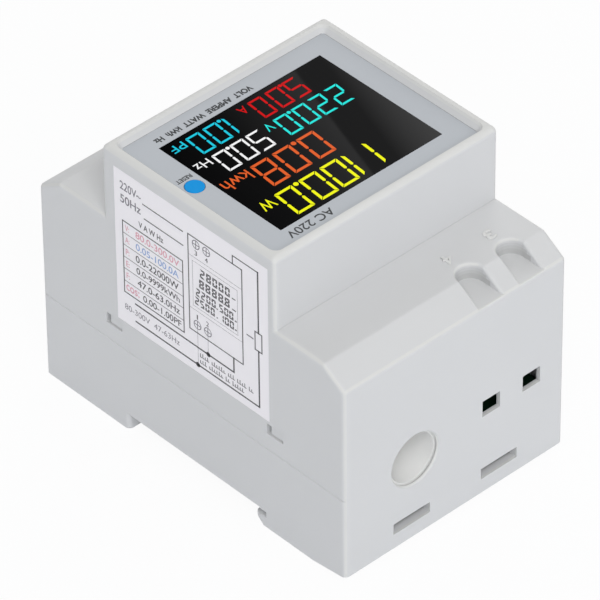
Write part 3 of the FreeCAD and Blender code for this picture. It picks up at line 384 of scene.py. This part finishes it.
# Display pane: polished acrylic, tinted almost black, so that only the lit bars of the display show. It
# lies in the window of the sheet, and the glass of the cell behind it has the same dark finish.
def tinted_acrylic(name):
    """Nearly black polished acrylic with hairline wiping marks."""
    acrylic, tree, shader = new_material(name)
    shader.inputs["IOR"].default_value = 1.49
    hairlines = noise(tree, 2500, stretch=(1, 0.04, 1), turn=math.radians(35))
    vary_roughness(tree, hairlines, 0.006, 0.022)
    darkest = (0.0020, 0.0020, 0.0022, 1)
    lightest = (0.0032, 0.0033, 0.0038, 1)
    two_tones(tree, hairlines, darkest, lightest, shader.inputs["Base Color"])
    return acrylic


finish_node("display_window", tinted_acrylic("tinted_acrylic"))
finish_node("lcd_panel", tinted_acrylic("cell_glass"))
pane_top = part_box("display_window")[1].z


# Lit bars: seven bars make a figure. Each is a flat strip with mitred or pointed ends and a fine gap all
# round, modelled once at unit height and copied with the slant of the real figures.
figure_width = 0.60
bar_gap = 0.020
corner_clip = 0.030
near = 1e-4


def flat_strip(name, x0, x1, y0, y1):
    """Rectangle between two corners in the plane of the display."""
    bpy.ops.object.select_all(action="DESELECT")
    bpy.ops.mesh.primitive_plane_add(size=1, location=((x0 + x1) / 2, (y0 + y1) / 2, 0))
    strip = bpy.context.object
    strip.name = name
    strip.scale = (x1 - x0, y1 - y0, 1)
    bpy.ops.object.transform_apply(location=True, rotation=True, scale=True)
    return strip


def pick(piece, test):
    """Selects the corners of a piece that pass a test, and enters edit mode."""
    bpy.ops.object.mode_set(mode="EDIT")
    bpy.ops.mesh.select_mode(type="VERT")
    bpy.ops.mesh.select_all(action="DESELECT")
    bpy.ops.object.mode_set(mode="OBJECT")
    for vertex in piece.data.vertices:
        vertex.select = test(vertex.co)
    bpy.ops.object.mode_set(mode="EDIT")


def shift_corners(piece, test, by):
    """Moves the corners that pass a test."""
    pick(piece, test)
    bpy.ops.transform.translate(value=by)
    bpy.ops.object.mode_set(mode="OBJECT")


def point_end(piece, test, across):
    """Turns a square end into a point: its middle stays and its two corners draw back by the given way."""
    pick(piece, test)
    bpy.ops.mesh.subdivide(number_cuts=1)
    bpy.ops.object.mode_set(mode="OBJECT")
    ends = [vertex for vertex in piece.data.vertices if test(vertex.co)]
    middle = sum((vertex.co for vertex in ends), Vector()) / len(ends)
    shift_corners(piece, lambda co: test(co) and (co - middle).length > Vector(across).length / 2, across)


def thicken(piece):
    """Gives a flat piece a thickness of one."""
    bpy.ops.object.mode_set(mode="EDIT")
    bpy.ops.mesh.select_all(action="SELECT")
    bpy.ops.mesh.extrude_region_move(TRANSFORM_OT_translate={"value": (0, 0, 1)})
    bpy.ops.mesh.select_all(action="SELECT")
    bpy.ops.mesh.normals_make_consistent(inside=False)
    bpy.ops.object.mode_set(mode="OBJECT")


def raised_strip(piece, clipped):
    """Clips the outer corners, draws the outline in by half the gap and gives the strip its thickness."""
    if clipped:
        pick(piece, clipped)
        bpy.ops.mesh.bevel(affect="VERTICES", offset=corner_clip, segments=2)
        bpy.ops.object.mode_set(mode="OBJECT")
    bpy.ops.object.mode_set(mode="EDIT")
    bpy.ops.mesh.select_mode(type="FACE")
    bpy.ops.mesh.select_all(action="SELECT")
    bpy.ops.mesh.inset(thickness=bar_gap / 2)
    bpy.ops.mesh.select_all(action="INVERT")
    bpy.ops.mesh.delete(type="FACE")
    bpy.ops.object.mode_set(mode="OBJECT")
    thicken(piece)


def bar_set(wide):
    """The seven bars of a figure of unit height: three modelled, the others mirrored from them."""
    half = wide / 2
    top_bar = flat_strip("top_bar", 0, figure_width, 1 - wide, 1)
    shift_corners(top_bar, lambda co: co.x < near and co.y < 1 - near, (wide, 0, 0))
    shift_corners(top_bar, lambda co: co.x > figure_width - near and co.y < 1 - near, (-wide, 0, 0))
    raised_strip(top_bar, lambda co: co.y > 1 - near)
    side_bar = flat_strip("side_bar", 0, wide, 0.5, 1)
    shift_corners(side_bar, lambda co: co.x > near and co.y > 1 - near, (0, -wide, 0))
    point_end(side_bar, lambda co: co.y < 0.5 + near, (0, half, 0))
    raised_strip(side_bar, lambda co: co.y > 1 - near)
    middle_bar = flat_strip("middle_bar", half, figure_width - half, 0.5 - half, 0.5 + half)
    point_end(middle_bar, lambda co: co.x < half + near, (half, 0, 0))
    point_end(middle_bar, lambda co: co.x > figure_width - half - near, (-half, 0, 0))
    raised_strip(middle_bar, None)
    upside_down = Matrix.Translation((0, 1, 0)) @ Matrix.Diagonal((1, -1, 1, 1))
    left_right = Matrix.Translation((figure_width, 0, 0)) @ Matrix.Diagonal((-1, 1, 1, 1))
    return {
        "top": (top_bar, Matrix.Identity(4)),
        "bottom": (top_bar, upside_down),
        "middle": (middle_bar, Matrix.Identity(4)),
        "upper_left": (side_bar, Matrix.Identity(4)),
        "upper_right": (side_bar, left_right),
        "lower_left": (side_bar, upside_down),
        "lower_right": (side_bar, upside_down @ left_right),
    }


def drop_set(bars):
    """Removes the three modelled bars once their copies are made."""
    for name in ("top", "middle", "upper_left"):
        bpy.data.objects.remove(bars[name][0])


lit_bars = {
    "0": ("top", "upper_left", "upper_right", "lower_left", "lower_right", "bottom"),
    "1": ("upper_right", "lower_right"),
    "2": ("top", "upper_right", "middle", "lower_left", "bottom"),
    "5": ("top", "upper_left", "middle", "lower_right", "bottom"),
    "8": ("top", "upper_left", "upper_right", "middle", "lower_left", "lower_right", "bottom"),
}


# Readings on the display: six of them in four rows, each in its own colour, with their points and thin
# unit letters. They lie on top of the pane as thin strips that give light, because the pane is opaque here.
def lit_colour(name, colour):
    """Light of one colour that comes through the polished pane."""
    light, tree, shader = new_material(name)
    shader.inputs["Base Color"].default_value = (0.003, 0.003, 0.003, 1)
    shader.inputs["Roughness"].default_value = 0.05
    shader.inputs["Specular IOR Level"].default_value = 0.2
    shader.inputs["Emission Strength"].default_value = 1.0
    two_tones(tree, noise(tree, 900), shade(colour, 0.88), shade(colour, 1), shader.inputs["Emission Color"])
    return light


lit_height = 0.02 * mm
figure_slant = 0.075
lit_width = 0.104
figure_bars = bar_set(lit_width)


def bar_figure(bars, figure, x, y, width, height, slant, thickness, turn):
    """Copies of the bars of one figure, slanted, with the foot of its left side at a point of its plane."""
    slanted = Matrix.Identity(4)
    slanted[0][1] = slant * height / (width / figure_width)
    sized = Matrix.Diagonal((width / figure_width, height, thickness, 1))
    pieces = []
    for bar in lit_bars[figure]:
        source, turned = bars[bar]
        piece = bpy.data.objects.new("bar", source.data.copy())
        bpy.context.collection.objects.link(piece)
        piece.data.transform(turn @ Matrix.Translation((x, y, 0)) @ sized @ slanted @ turned)
        if turned.determinant() < 0:
            piece.data.flip_normals()
        pieces.append(piece)
    return pieces


def round_pad(corners, radius, thickness, turn):
    """Small flat pad with a given number of corners, turned onto its surface."""
    bpy.ops.object.select_all(action="DESELECT")
    bpy.ops.mesh.primitive_circle_add(vertices=corners, radius=radius, fill_type="NGON",
                                      rotation=(0, 0, math.pi / corners))
    bpy.ops.object.transform_apply(location=True, rotation=True, scale=True)
    pad = bpy.context.object
    thicken(pad)
    pad.data.transform(turn @ Matrix.Diagonal((1, 1, thickness, 1)))
    return pad


on_pane = Matrix.Translation((0, 0, pane_top))
large = (4.25 * mm, 7.05 * mm)
small = (3.22 * mm, 5.55 * mm)
point_corners = 8
point_rise = 0.07
point_radius = 0.075
# In each row, in millimetres: name, colour, size of a figure, foot of the row, figures with their places,
# place of the point, unit, corners of the unit's box, and how much bolder its letters are.
readings = [
    ("power_reading", (0.96, 0.98, 0.008), large, 7.92,
     (("1", -11.4), ("1", -6.33), ("0", -1.25), ("0", 3.83), ("0", 9.58)), 8.83,
     "W", (14.85, 7.85), (17.85, 10.45), 0.004),
    ("energy_reading", (0.81, 0.125, 0.025), large, -0.72,
     (("0", -3.69), ("0", 2.08), ("8", 7.3)), 1.33,
     "kwh", (12.55, -0.8), (18.65, 2.1), 0.0),
    ("voltage_reading", (0.02, 0.84, 0.78), small, -7.64,
     (("2", -15.89), ("2", -11.89), ("0", -7.92), ("0", -3.56)), -4.08,
     "V", (0.5, -7.7), (2.2, -5.55), 0.0),
    ("frequency_reading", (0.97, 0.97, 0.98), small, -7.64,
     (("5", 3.1), ("0", 6.89), ("0", 11.17)), 10.66,
     "Hz", (15.3, -7.8), (18.55, -5.75), 0.0),
    ("current_reading", (0.68, 0.003, 0.005), small, -14.36,
     (("5", -11.8), ("0", -7.78), ("0", -3.6)), -8.2,
     "A", (0.5, -14.35), (2.2, -12.3), 0.0),
    ("factor_reading", (0.014, 0.62, 0.80), small, -14.36,
     (("1", 2.75), ("0", 7.17), ("0", 11.25)), 6.6,
     "PF", (15.3, -14.4), (18.4, -12.4), 0.0),
]
for name, colour, (width, height), foot, figures, point_x, unit, low, high, bolder in readings:
    pieces = []
    for figure, x in figures:
        pieces += bar_figure(figure_bars, figure, x * mm, foot * mm, width, height, figure_slant, lit_height,
                             on_pane)
    point = on_pane @ Matrix.Translation((point_x * mm, foot * mm + point_rise * height, 0))
    pieces.append(round_pad(point_corners, point_radius * height, lit_height, point))
    low = [part * mm for part in low]
    high = [part * mm for part in high]
    pieces.append(fitted_words("unit", unit, low, high, lit_height, on_pane, bolder))
    reading = joined_piece(name, pieces)
    coat(reading, lit_colour(name + "_light", colour))
    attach(reading, "housing")
drop_set(figure_bars)


# Reset button: a round cap moulded in sky-blue plastic, nearly flush with the sheet and smooth from the
# finger. It slides in a hole of the front and rests on the plunger of its switch.
button_plastic = moulded_plastic("button_plastic", (0.002, 0.31, 0.78), grain=0.5 * mm, depth=0.004 * mm,
                                 roughness=0.34)
button_plastic.node_tree.nodes["Principled BSDF"].inputs["Specular IOR Level"].default_value = 0.15
finish_node("reset_button", button_plastic)


# Side label: a die-cut white film with a lavender cast and a satin face, glued into its shallow recess
# in the side wall.
label_film = moulded_plastic("label_film", (0.93, 0.905, 0.94), grain=0.6 * mm, depth=0.004 * mm,
                             roughness=0.38)
finish_node("side_label", label_film)
label_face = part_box("side_label")[1].x


# Print on the label: a table of plain ranges and a wiring picture, in thin rules, small figures and bold
# figures of seven bars. Each of its four inks, black, rose, blue and grey, is a piece of its own.
quarter = math.radians(90)
ink_sunk = 0.9 * ink_height
upright = (Matrix.Translation((label_face - ink_sunk, 0, 0)) @ Matrix.Rotation(quarter, 4, "Z")
           @ Matrix.Rotation(quarter, 4, "X"))
rule_strip = flat_strip("rule_strip", -0.5, 0.5, -0.5, 0.5)
thicken(rule_strip)


def rule(y0, z0, y1, z1, width):
    """Printed line between two points of the label, in millimetres, level or upright."""
    line = bpy.data.objects.new("rule", rule_strip.data.copy())
    bpy.context.collection.objects.link(line)
    middle = Matrix.Translation(((y0 + y1) / 2 * mm, (z0 + z1) / 2 * mm, 0))
    size = Matrix.Diagonal(((abs(y1 - y0) + width) * mm, (abs(z1 - z0) + width) * mm, ink_height, 1))
    line.data.transform(upright @ middle @ size)
    return line


def frame_of_rules(y0, z0, y1, z1, width):
    """Four rules round a field."""
    return [rule(y0, z0, y1, z0, width), rule(y0, z1, y1, z1, width),
            rule(y0, z0, y0, z1, width), rule(y1, z0, y1, z1, width)]


def label_words(words, y0, z0, y1, z1, bolder=0.012):
    """Small printed figures, reading along +Y and upright."""
    return fitted_words("figures", words, (y0 * mm, z0 * mm), (y1 * mm, z1 * mm), ink_height, upright, bolder)


def label_figures(figures, y, z, pitch, width, height):
    """Row of bold seven-bar figures with the foot of the first at a point of the label."""
    pieces = []
    for place, figure in enumerate(figures):
        foot = (y + place * pitch) * mm
        pieces += bar_figure(label_bars, figure, foot, z * mm, width * mm, height * mm, 0, ink_height,
                             upright)
    return pieces


tick_heights = (0.85, 0.5, 0.8, 0.55, 0.7)
letter_pitch = 0.62
word_gap = 0.55


def small_words(words, y, z):
    """Line of print too small to read, as ticks of uneven height in groups of the given counts."""
    pieces = []
    for count in words:
        for letter in range(count):
            height = tick_heights[(letter + count) % len(tick_heights)]
            pieces += [rule(y, z, y, z + height, 0.19), rule(y, z, y + 0.33, z + 0.02, 0.17)]
            y += letter_pitch
        y += word_gap
    return pieces


def label_ring(y, z, radius, width):
    """Printed ring with a cross in it, the sign for a screw terminal."""
    bpy.ops.object.select_all(action="DESELECT")
    bpy.ops.mesh.primitive_torus_add(major_radius=radius * mm, minor_radius=width * mm / 2, major_segments=32,
                                     minor_segments=6, location=(0, 0, 0))
    ring = bpy.context.object
    flat = Matrix.Diagonal((1, 1, ink_height / (width * mm), 1))
    place = Matrix.Translation((label_face, y * mm, z * mm)) @ Matrix.Rotation(quarter, 4, "Y")
    ring.data.transform(place @ flat)
    return [ring, rule(y - radius, z, y + radius, z, width), rule(y, z - radius, y, z + radius, width)]


thin = 0.14
hair = thin / 2
firm = 0.26
bold = 0.36
table_left, table_right = -17.28, -1.5
table_rows = (49.08, 46.4, 43.7, 40.9, 38.25, 35.4, 32.7)
field_left, field_right = 0.05, 13.95
black_print = [rule(-11.7, 55.9, -1.3, 55.9, firm), rule(-11.4, 52.75, -1.3, 52.75, firm)]
black_print += frame_of_rules(table_left, table_rows[-1], table_right, table_rows[0], firm)
black_print += [rule(table_left, level, table_right, level, thin) for level in table_rows[1:-1]]
black_print += frame_of_rules(field_left, 34.7, field_right, 56.25, firm)
black_print += [rule(field_left, level, field_right, level, hair) for level in (51.75, 39.75)]
black_print += frame_of_rules(1.1, 40.6, 12.7, 50.8, hair)
for line in (
        (2.1, 27.4, 2.1, 35.6, hair), (4.8, 31.4, 4.8, 35.6, hair),
        (-14.4, 31.4, 11.5, 31.4, bold), (11.5, 31.4, 11.5, 34.7, bold),
        (-14.4, 27.35, 18.05, 27.35, bold), (18.05, 27.35, 18.05, 40.2, bold)):
    black_print.append(rule(*line))
black_print += frame_of_rules(17.15, 40.2, 18.9, 44.3, firm)
for line in (
        (18.05, 44.3, 18.05, 58.1, bold), (11.6, 58.1, 18.05, 58.1, firm),
        (11.6, 56.25, 11.6, 58.1, firm)):
    black_print.append(rule(*line))
for y, z in ((4.8, 31.4), (2.0, 27.35)):
    dot = upright @ Matrix.Translation((y * mm, z * mm, 0))
    black_print.append(round_pad(24, 0.55 * mm, ink_height, dot))
black_print += [
    label_words("V A W Hz", -13.0, 50.0, -6.5, 51.35, 0.02),
    label_words("0.0-22000W", -14.0, 41.5, -2.7, 43.05),
    label_words("0.0-9999kWh", -13.9, 38.85, -2.5, 40.3),
    label_words("47.0-63.0Hz", -13.7, 36.1, -2.5, 37.6),
    label_words("0.00-1.00PF", -12.3, 33.35, -2.2, 34.8),
    label_words("3", 1.75, 52.4, 2.4, 53.5),
    label_words("4", 4.45, 52.4, 5.15, 53.5),
    label_words("1", 1.95, 37.8, 2.25, 38.9),
    label_words("2", 4.4, 37.8, 5.1, 38.9),
]
label_bars = bar_set(0.21)
for figures, y, z, pitch, width, height in (
        ("28000", 3.0, 48.0, 1.62, 1.3, 2.0), ("88888", 2.75, 45.55, 1.66, 1.3, 1.95),
        ("2200", 1.85, 43.25, 1.36, 1.12, 1.8), ("500", 7.9, 43.25, 1.3, 1.12, 1.8),
        ("2500", 1.55, 41.2, 1.36, 1.12, 1.75), ("100", 8.0, 41.2, 1.3, 1.12, 1.75)):
    black_print += label_figures(figures, y, z, pitch, width, height)
drop_set(label_bars)
black_print += small_words((4, 6, 3, 4, 2), 2.7, 29.6) + small_words((3, 6, 2, 5), 2.7, 28.2)
for point in (
        (9.2, 45.65, 9.25, 45.65, 0.24), (11.4, 48.3, 12.1, 48.3, 0.25), (11.4, 45.8, 12.2, 45.8, 0.25),
        (7.3, 43.4, 7.45, 43.4, 0.24), (7.3, 41.4, 7.4, 41.4, 0.24),
        (12.1, 43.5, 12.3, 43.5, 0.3), (12.1, 41.5, 12.3, 41.5, 0.3)):
    black_print.append(rule(*point))
black_print = joined_piece("label_print", black_print)
coat(black_print, printing_ink("label_ink", (0.045, 0.042, 0.05)))
rose_print = joined_piece("label_print_rose", [
    label_words("80.0-300.0V", -13.9, 47.0, -2.4, 48.5),
    label_words("V:", -16.7, 47.05, -15.6, 48.4),
    label_words("A:", -16.7, 44.35, -15.6, 45.7),
    label_words("P:", -16.65, 41.6, -15.7, 42.95),
    label_words("E:", -16.65, 38.9, -15.7, 40.2),
    label_words("F:", -16.65, 36.15, -15.75, 37.5),
    label_words("cos:", -16.8, 33.4, -13.3, 34.75),
])
coat(rose_print, printing_ink("rose_ink", (0.70, 0.34, 0.42)))
blue_print = joined_piece("label_print_blue", [label_words("0.05-100.0A", -13.9, 44.3, -2.6, 45.8)])
coat(blue_print, printing_ink("blue_ink", (0.26, 0.38, 0.66)))
grey_print = [
    label_words("220V~", -17.7, 56.1, -12.2, 58.0),
    label_words("50Hz", -17.7, 53.1, -12.3, 55.0),
    label_words("80-300V  47-63Hz", -17.3, 28.75, -2.8, 30.05, 0.0),
]
for y in (2.1, 4.8):
    for z in (54.85, 36.55):
        grey_print += label_ring(y, z, 0.9, 0.2)
grey_print.append(rule(15.1, 42.3, 16.6, 42.3, 0.3))
grey_print = joined_piece("label_print_grey", grey_print)
coat(grey_print, printing_ink("grey_ink", (0.17, 0.16, 0.19)))
bpy.data.objects.remove(rule_strip)
for piece in (black_print, rose_print, blue_print, grey_print):
    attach(piece, "housing")


# Studio: a plain white floor and background, which the camera and polished faces see as white, a soft sky,
# three wide softboxes, and a small graded card that only polished faces mirror.
def straight_or_mirrored(tree):
    """One for rays from the camera, from a polished face or through glass, and nothing for all others."""
    seen = tree.nodes.new("ShaderNodeLightPath")
    shown = None
    for kind in ("Is Camera Ray", "Is Glossy Ray", "Is Transmission Ray"):
        shown = combined(tree, "MAXIMUM", shown, seen.outputs[kind])
    return shown


floor_radius = 4
floor_z = -0.02 * mm
floor_share = 0.94
bpy.ops.object.select_all(action="DESELECT")
bpy.ops.mesh.primitive_circle_add(vertices=96, radius=floor_radius, fill_type="NGON",
                                  location=(0, 0, floor_z))
bpy.ops.object.transform_apply(location=True, rotation=True, scale=True)
floor = bpy.context.object
floor.name = "floor"
floor_white, tree, shader = new_material("floor_white")
shader.inputs["Base Color"].default_value = (0.84, 0.86, 0.89, 1)
shader.inputs["Roughness"].default_value = 0.9
paper = tree.nodes.new("ShaderNodeEmission")
paper.inputs["Strength"].default_value = 1.0
share = tree.nodes.new("ShaderNodeMath")
share.operation = "MULTIPLY"
share.inputs[1].default_value = floor_share
blend = tree.nodes.new("ShaderNodeMixShader")
tree.links.new(straight_or_mirrored(tree), share.inputs[0])
tree.links.new(share.outputs["Value"], blend.inputs["Fac"])
tree.links.new(shader.outputs["BSDF"], blend.inputs[1])
tree.links.new(paper.outputs["Emission"], blend.inputs[2])
tree.links.new(blend.outputs["Shader"], tree.nodes["Material Output"].inputs["Surface"])
floor.data.materials.append(floor_white)

card_side = 0.24
card_place = (-0.5136, -0.5559, 0.662)
card_way = (11.296, -3.716, 0)
card_start = 4.249
card_grades = (
    (0.02, 0.83), (0.12, 0.55), (0.22, 0.20), (0.343, 0.19),
    (0.352, 0.45), (0.457, 0.30), (0.717, 0.063), (1.0, 0.01),
)
bpy.ops.object.select_all(action="DESELECT")
bpy.ops.mesh.primitive_plane_add(size=card_side, location=card_place)
bpy.ops.object.transform_apply(location=True, rotation=True, scale=True)
card = bpy.context.object
card.name = "graded_card"
card.visible_camera = False
card.visible_diffuse = False
card.visible_transmission = False
card.visible_volume_scatter = False
card.visible_shadow = False
card_light, tree, shader = new_material("card_light")
tree.nodes.remove(shader)
along = tree.nodes.new("ShaderNodeVectorMath")
along.operation = "DOT_PRODUCT"
along.inputs[1].default_value = card_way
start = tree.nodes.new("ShaderNodeMath")
start.operation = "ADD"
start.inputs[1].default_value = card_start
grade = tree.nodes.new("ShaderNodeValToRGB")
while len(grade.color_ramp.elements) < len(card_grades):
    grade.color_ramp.elements.new(1.0)
for element, (position, level) in zip(grade.color_ramp.elements, card_grades):
    element.position = position
    element.color = (level, level, level, 1)
shine = tree.nodes.new("ShaderNodeEmission")
tree.links.new(place_on_piece(tree), along.inputs[0])
tree.links.new(along.outputs["Value"], start.inputs[0])
tree.links.new(start.outputs["Value"], grade.inputs["Fac"])
tree.links.new(grade.outputs["Color"], shine.inputs["Color"])
tree.links.new(shine.outputs["Emission"], tree.nodes["Material Output"].inputs["Surface"])
card.data.materials.append(card_light)

world = bpy.data.worlds.new("studio")
bpy.context.scene.world = world
world.use_nodes = True
tree = world.node_tree
soft_sky = tree.nodes["Background"]
soft_sky.inputs["Strength"].default_value = 0.465
parts = tree.nodes.new("ShaderNodeSeparateXYZ")
tree.links.new(tree.nodes.new("ShaderNodeTexCoord").outputs["Generated"], parts.inputs["Vector"])
two_tones(tree, parts.outputs["Z"], (0.95, 0.98, 1.06, 1), (1.02, 1.01, 0.95, 1), soft_sky.inputs["Color"])
white_back = tree.nodes.new("ShaderNodeBackground")
white_back.inputs["Color"].default_value = (1, 1, 1, 1)
white_back.inputs["Strength"].default_value = 1.0
chosen = tree.nodes.new("ShaderNodeMixShader")
tree.links.new(straight_or_mirrored(tree), chosen.inputs["Fac"])
tree.links.new(soft_sky.outputs["Background"], chosen.inputs[1])
tree.links.new(white_back.outputs["Background"], chosen.inputs[2])
tree.links.new(chosen.outputs["Shader"], tree.nodes["World Output"].inputs["Surface"])

softbox_side = 1.2
meter_middle = 0.03


def softbox(name, place, watts):
    """Square softbox that points at the middle of the meter and leaves no mirror image in the pane."""
    bpy.ops.object.select_all(action="DESELECT")
    bpy.ops.object.light_add(type="AREA", location=place)
    lamp = bpy.context.object
    lamp.name = name
    lamp.data.shape = "SQUARE"
    lamp.data.size = softbox_side
    lamp.data.energy = watts
    lamp.visible_glossy = False
    aim = Vector((0, 0, meter_middle)) - Vector(place)
    lamp.rotation_euler = aim.to_track_quat("-Z", "Y").to_euler()


softbox("key_softbox", (1.05, 1.46, 1.6), 27)
softbox("side_softbox", (-0.4, 1.5, 1.1), 3.5)
softbox("back_softbox", (-1.4, -1.2, 1.0), 9)


# Camera: a long lens far back, as in a catalogue picture, looking down over the far terminals.
camera_place = (0.620291, 0.671444, 0.786657)
camera_turn = (50.2175, 0.4482, 136.9110)
bpy.ops.object.select_all(action="DESELECT")
bpy.ops.object.camera_add(location=camera_place)
camera = bpy.context.object
camera.name = "camera"
camera.rotation_euler = [math.radians(angle) for angle in camera_turn]
camera.data.sensor_width = 36
camera.data.lens = 396.73
camera.data.clip_start = 0.05
camera.data.clip_end = 20
bpy.context.scene.camera = camera
bpy.context.scene.view_settings.view_transform = "Standard"
